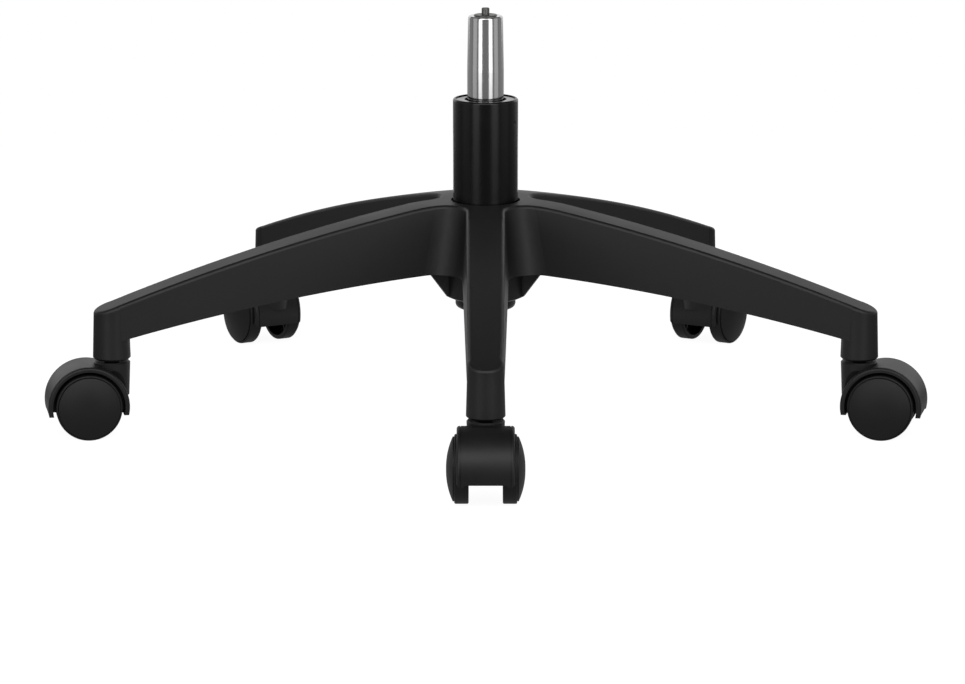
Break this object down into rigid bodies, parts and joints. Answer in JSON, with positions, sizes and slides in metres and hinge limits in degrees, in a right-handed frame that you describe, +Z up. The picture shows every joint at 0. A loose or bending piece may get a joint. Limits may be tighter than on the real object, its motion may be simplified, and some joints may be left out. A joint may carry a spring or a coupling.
{
  "type": "office chair base",
  "caption": "Star base of a swivel chair: moulded legs with ribbed undersides, a gas lift column with valve and thrust bearing, and hooded swivel casters.",
  "frame": {"origin": "on the floor, under the axis of the column", "axes": "+Z up along the column, -Y along the front leg, +X to the right seen from the front"},
  "size_m": [0.6701, 0.6402, 0.3125],
  "materials": {
    "star_base_nylon": "black glass-filled nylon, injection moulded, fine satin grain",
    "column_tube_paint": "black powder-coated steel tube, semi-gloss",
    "guide_bush_acetal": "dark moulded acetal",
    "gas_cylinder_chrome": "ground and chromed steel tube",
    "valve_steel": "turned steel",
    "rod_guide_plastic": "moulded plastic",
    "seal_rubber": "black rubber",
    "rod_steel": "ground steel",
    "piston_aluminium": "turned aluminium",
    "caster_steel": "zinc-plated steel",
    "caster_hood_nylon": "black moulded nylon, satin",
    "caster_wheel_nylon": "black moulded nylon, smooth satin"
  },
  "bodies": {
    "root": {"star_base": "star_base_nylon", "outer_tube": "column_tube_paint", "guide_bush": "guide_bush_acetal", "lower_race": "rod_steel", "front_caster_stem": "caster_steel", "front_caster_grip_ring": "caster_steel", "front_left_caster_stem": "caster_steel", "front_left_caster_grip_ring": "caster_steel", "rear_left_caster_stem": "caster_steel", "rear_left_caster_grip_ring": "caster_steel", "rear_right_caster_stem": "caster_steel", "rear_right_caster_grip_ring": "caster_steel", "front_right_caster_stem": "caster_steel", "front_right_caster_grip_ring": "caster_steel"},
    "bearing": {"bearing_balls": "rod_steel", "bearing_cage": "rod_guide_plastic"},
    "rod": {"piston_rod": "rod_steel", "piston": "piston_aluminium", "retaining_clip": "rod_steel", "end_washer": "rod_steel", "upper_race": "rod_steel", "bump_stop": "seal_rubber"},
    "cylinder": {"gas_cylinder": "gas_cylinder_chrome", "valve_body": "valve_steel", "rod_guide": "rod_guide_plastic", "rod_seal": "seal_rubber"},
    "valve_pin": {"release_pin": "valve_steel"},
    "front_caster": {"front_caster_hood": "caster_hood_nylon", "front_caster_axle": "caster_steel"},
    "front_caster_left_wheel": {"front_caster_wheel_left": "caster_wheel_nylon"},
    "front_caster_right_wheel": {"front_caster_wheel_right": "caster_wheel_nylon"},
    "front_left_caster": {"front_left_caster_hood": "caster_hood_nylon", "front_left_caster_axle": "caster_steel"},
    "front_left_caster_left_wheel": {"front_left_caster_wheel_left": "caster_wheel_nylon"},
    "front_left_caster_right_wheel": {"front_left_caster_wheel_right": "caster_wheel_nylon"},
    "rear_left_caster": {"rear_left_caster_hood": "caster_hood_nylon", "rear_left_caster_axle": "caster_steel"},
    "rear_left_caster_left_wheel": {"rear_left_caster_wheel_left": "caster_wheel_nylon"},
    "rear_left_caster_right_wheel": {"rear_left_caster_wheel_right": "caster_wheel_nylon"},
    "rear_right_caster": {"rear_right_caster_hood": "caster_hood_nylon", "rear_right_caster_axle": "caster_steel"},
    "rear_right_caster_left_wheel": {"rear_right_caster_wheel_left": "caster_wheel_nylon"},
    "rear_right_caster_right_wheel": {"rear_right_caster_wheel_right": "caster_wheel_nylon"},
    "front_right_caster": {"front_right_caster_hood": "caster_hood_nylon", "front_right_caster_axle": "caster_steel"},
    "front_right_caster_left_wheel": {"front_right_caster_wheel_left": "caster_wheel_nylon"},
    "front_right_caster_right_wheel": {"front_right_caster_wheel_right": "caster_wheel_nylon"}
  },
  "joints": [
    {"name": "seat_swivel", "type": "hinge", "parent": "root", "child": "rod", "pos_m": [0, 0, 0.09], "axis": [0, 0, 1], "continuous": true},
    {"name": "bearing_roll", "type": "hinge", "parent": "root", "child": "bearing", "pos_m": [0, 0, 0.086], "axis": [0, 0, 1], "continuous": true},
    {"name": "height_lift", "type": "slide", "parent": "rod", "child": "cylinder", "axis": [0, 0, 1], "range_m": [0, 0.08]},
    {"name": "release_press", "type": "slide", "parent": "cylinder", "child": "valve_pin", "axis": [0, 0, -1], "range_m": [0, 0.003], "stiffness_N_per_m": 1500, "springref_m": -0.002},
    {"name": "front_caster_swivel", "type": "hinge", "parent": "root", "child": "front_caster", "pos_m": [0, -0.297, 0.05], "axis": [0, 0, 1], "continuous": true},
    {"name": "front_caster_left_roll", "type": "hinge", "parent": "front_caster", "child": "front_caster_left_wheel", "pos_m": [0, -0.3162, 0.025], "axis": [1, 0, 0], "continuous": true},
    {"name": "front_caster_right_roll", "type": "hinge", "parent": "front_caster", "child": "front_caster_right_wheel", "pos_m": [0, -0.3162, 0.025], "axis": [1, 0, 0], "continuous": true},
    {"name": "front_left_caster_swivel", "type": "hinge", "parent": "root", "child": "front_left_caster", "pos_m": [-0.28246, -0.09178, 0.05], "axis": [0, 0, 1], "continuous": true},
    {"name": "front_left_caster_left_roll", "type": "hinge", "parent": "front_left_caster", "child": "front_left_caster_left_wheel", "pos_m": [-0.30143, -0.09478, 0.025], "axis": [0.1564, -0.9877, 0], "continuous": true},
    {"name": "front_left_caster_right_roll", "type": "hinge", "parent": "front_left_caster", "child": "front_left_caster_right_wheel", "pos_m": [-0.30143, -0.09478, 0.025], "axis": [0.1564, -0.9877, 0], "continuous": true},
    {"name": "rear_left_caster_swivel", "type": "hinge", "parent": "root", "child": "rear_left_caster", "pos_m": [-0.17457, 0.24028, 0.05], "axis": [0, 0, 1], "continuous": true},
    {"name": "rear_left_caster_left_roll", "type": "hinge", "parent": "rear_left_caster", "child": "rear_left_caster_left_wheel", "pos_m": [-0.18417, 0.25691, 0.025], "axis": [-0.866, -0.5, 0], "continuous": true},
    {"name": "rear_left_caster_right_roll", "type": "hinge", "parent": "rear_left_caster", "child": "rear_left_caster_right_wheel", "pos_m": [-0.18417, 0.25691, 0.025], "axis": [-0.866, -0.5, 0], "continuous": true},
    {"name": "rear_right_caster_swivel", "type": "hinge", "parent": "root", "child": "rear_right_caster", "pos_m": [0.17457, 0.24028, 0.05], "axis": [0, 0, 1], "continuous": true},
    {"name": "rear_right_caster_left_roll", "type": "hinge", "parent": "rear_right_caster", "child": "rear_right_caster_left_wheel", "pos_m": [0.18417, 0.25691, 0.025], "axis": [-0.866, 0.5, 0], "continuous": true},
    {"name": "rear_right_caster_right_roll", "type": "hinge", "parent": "rear_right_caster", "child": "rear_right_caster_right_wheel", "pos_m": [0.18417, 0.25691, 0.025], "axis": [-0.866, 0.5, 0], "continuous": true},
    {"name": "front_right_caster_swivel", "type": "hinge", "parent": "root", "child": "front_right_caster", "pos_m": [0.28246, -0.09178, 0.05], "axis": [0, 0, 1], "continuous": true},
    {"name": "front_right_caster_left_roll", "type": "hinge", "parent": "front_right_caster", "child": "front_right_caster_left_wheel", "pos_m": [0.30124, -0.09577, 0.025], "axis": [0.2079, 0.9781, 0], "continuous": true},
    {"name": "front_right_caster_right_roll", "type": "hinge", "parent": "front_right_caster", "child": "front_right_caster_right_wheel", "pos_m": [0.30124, -0.09577, 0.025], "axis": [0.2079, 0.9781, 0], "continuous": true}
  ],
  "couplings": [
    {"joint": "bearing_roll", "follows": "seat_swivel", "ratio": 0.5}
  ]
}
